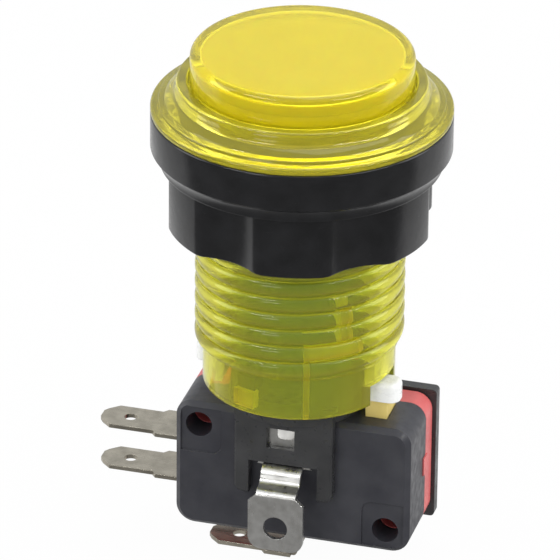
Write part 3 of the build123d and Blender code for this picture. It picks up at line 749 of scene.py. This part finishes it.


# Return spring: a coil of bright drawn steel wire that stands on the web and
# carries the plunger's ring.
spring_radius = 7.85
spring_low = -15.68
spring_high = 3.43
spring_turns = 8
wire_half = 0.35
coil_pitch = (spring_high - spring_low - 2 * wire_half) / spring_turns
wire_round = arc(spring_radius, spring_low + wire_half, wire_half, 0, 360, 12)
coil = drawn("spring_coil", [(radius, 0, height) for radius, height in wire_round])
bpy.ops.object.mode_set(mode="OBJECT")
bpy.ops.object.transform_apply(location=True, rotation=True, scale=True)
coiling = coil.modifiers.new("coiling", "SCREW")
coiling.axis = "Z"
coiling.angle = math.radians(360)
coiling.screw_offset = coil_pitch / 1000
coiling.iterations = spring_turns
coiling.steps = 48
coiling.render_steps = 48
coiling.use_merge_vertices = False
bpy.ops.object.modifier_apply(modifier=coiling.name)
bpy.ops.object.mode_set(mode="EDIT")
bpy.ops.mesh.select_all(action="DESELECT")
bpy.ops.mesh.select_non_manifold()
bpy.ops.mesh.fill_holes(sides=0)
bpy.ops.mesh.select_all(action="SELECT")
bpy.ops.mesh.normals_make_consistent(inside=False)
bpy.ops.object.mode_set(mode="OBJECT")
smooth(coil, 40)

spring_wire = start_material("spring_wire")
tint(
    spring_wire,
    pattern(spring_wire, 0.0006, detail=5),
    (0.35, (0.42, 0.41, 0.4)),
    (0.65, (0.62, 0.61, 0.6)),
)
vary(spring_wire, pattern(spring_wire, 0.0003), "Roughness", 0.2, 0.38)
relief(spring_wire, pattern(spring_wire, 0.0002), 0.000005)
spring_wire.node_tree.nodes["Principled BSDF"].inputs["Metallic"].default_value = 1
coil.data.materials.append(spring_wire)
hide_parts("return_spring")
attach(coil, "housing")
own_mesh(coil)
dress(spring_wire, "lamp_lead_front", "lamp_lead_rear")


# Microswitch case: a shallow tray of black phenolic moulding with a fine satin
# skin, which holds the contacts. The lamp holder is of the same black plastic.
def black_moulding(name, blue, low_gloss, high_gloss):
    made = start_material(name)
    tint(
        made,
        pattern(made, 0.0035, detail=5),
        (0.3, (0.026, 0.026, 0.027 + blue)),
        (0.7, (0.042, 0.042, 0.043 + blue)),
    )
    vary(made, pattern(made, 0.0009, detail=8), "Roughness", low_gloss, high_gloss)
    relief(made, pattern(made, 0.00025, detail=4), 0.000006, 0.00012)
    return made


dress(black_moulding("case_black", 0.006, 0.3, 0.46), "switch_case")
dress(black_moulding("holder_black", 0.0, 0.26, 0.42), "lamp_holder")


# Cover and button of the microswitch: the cover is a red moulding let into the
# back of the tray, and the button is a cream block that rises through its top.
red_moulding = start_material("cover_red")
tint(
    red_moulding,
    pattern(red_moulding, 0.003, detail=4),
    (0.3, (0.55, 0.1, 0.1)),
    (0.7, (0.64, 0.135, 0.13)),
)
vary(red_moulding, pattern(red_moulding, 0.0008), "Roughness", 0.3, 0.48)
relief(red_moulding, pattern(red_moulding, 0.00025), 0.000006, 0.0001)
dress(red_moulding, "switch_cover")

cream_moulding = start_material("button_cream")
tint(
    cream_moulding,
    pattern(cream_moulding, 0.002),
    (0.3, (0.8, 0.62, 0.18)),
    (0.7, (0.88, 0.7, 0.24)),
)
vary(cream_moulding, pattern(cream_moulding, 0.0006), "Roughness", 0.3, 0.45)
relief(cream_moulding, pattern(cream_moulding, 0.0003), 0.000006, 0.00012)
dress(cream_moulding, "switch_button")


# Terminals: blanked from brass strip and nickel plated. Plating lines run with
# the strip, and the lugs carry light scratches and dull patches from the press.
def plated_strip(name, along, dark, light, low_gloss, high_gloss):
    made = start_material(name)
    tint(made, pattern(made, 0.0016, detail=6), (0.3, dark), (0.62, light))
    streak = pattern(made, 0.0007, along, detail=8)
    vary(made, streak, "Roughness", low_gloss, high_gloss, 0.3, 0.7)
    relief(made, streak, 0.000008, 0.0001)
    made.node_tree.nodes["Principled BSDF"].inputs["Metallic"].default_value = 1
    return made


side_plate = plated_strip(
    "tab_nickel", (0.12, 1, 1), (0.36, 0.33, 0.27), (0.5, 0.46, 0.38), 0.2, 0.36
)
dress(side_plate, "com_terminal", "nc_terminal", "no_terminal")
lug_plate = plated_strip(
    "lug_nickel", (1, 1, 0.12), (0.6, 0.59, 0.56), (0.84, 0.83, 0.8), 0.24, 0.4
)
dress(lug_plate, "front_lamp_terminal", "rear_lamp_terminal")


# Contacts: silver rivets on the terminals and on a beryllium copper blade. A bowed
# leaf of the same strip stands between the blade and the switch button.
silver = start_material("contact_silver")
tint(
    silver,
    pattern(silver, 0.0005),
    (0.3, (0.7, 0.69, 0.66)),
    (0.7, (0.86, 0.85, 0.83)),
)
vary(silver, pattern(silver, 0.0003), "Roughness", 0.18, 0.35)
relief(silver, pattern(silver, 0.0002), 0.000004, 0.0001)
silver.node_tree.nodes["Principled BSDF"].inputs["Metallic"].default_value = 1
dress(silver, "nc_contact", "no_contact", "moving_contact")

copper = start_material("spring_copper")
tint(
    copper,
    pattern(copper, 0.001, (0.2, 1, 1)),
    (0.3, (0.62, 0.36, 0.2)),
    (0.7, (0.78, 0.5, 0.3)),
)
vary(copper, pattern(copper, 0.0004, (0.2, 1, 1)), "Roughness", 0.22, 0.4)
relief(copper, pattern(copper, 0.0003, (0.2, 1, 1)), 0.000004)
copper.node_tree.nodes["Principled BSDF"].inputs["Metallic"].default_value = 1
dress(copper, "snap_blade")

leaf_high = -38.82
leaf_low = -44.58
leaf_middle = (leaf_high + leaf_low) / 2
leaf_outline = arc(8.841, leaf_middle, 2.909, 81.9, -81.9, 20)
leaf_outline += arc(8.838, leaf_middle, 2.692, -81.2, 81.2, 20)
leaf_outline.append(leaf_outline[0])
leaf_width = 2.8
leaf = drawn("bow_leaf", [(x, -leaf_width / 2, z) for x, z in leaf_outline])
bpy.ops.mesh.select_all(action="SELECT")
bpy.ops.mesh.edge_face_add()
leaf_across = (0, leaf_width / 1000, 0)
bpy.ops.mesh.extrude_region_move(TRANSFORM_OT_translate={"value": leaf_across})
bpy.ops.mesh.select_all(action="SELECT")
bpy.ops.mesh.normals_make_consistent(inside=False)
bpy.ops.object.mode_set(mode="OBJECT")
bpy.ops.object.transform_apply(location=True, rotation=True, scale=True)
smooth(leaf, 30)
leaf.data.materials.append(copper)
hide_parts("bow_spring")
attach(leaf, "housing")
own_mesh(leaf)


# Lamp: a wedge base and a dome, moulded in clear plastic round the leads.
lamp_clear = start_material("lamp_clear")
tint(
    lamp_clear,
    pattern(lamp_clear, 0.002),
    (0.3, (0.9, 0.92, 0.9)),
    (0.7, (0.96, 0.97, 0.95)),
)
vary(lamp_clear, pattern(lamp_clear, 0.0008), "Roughness", 0.08, 0.2)
relief(lamp_clear, pattern(lamp_clear, 0.001), 0.00001)
lamp_shader = lamp_clear.node_tree.nodes["Principled BSDF"]
lamp_shader.inputs["Transmission Weight"].default_value = 0.8
lamp_shader.inputs["IOR"].default_value = 1.5
dress(lamp_clear, "lamp_base", "bulb")
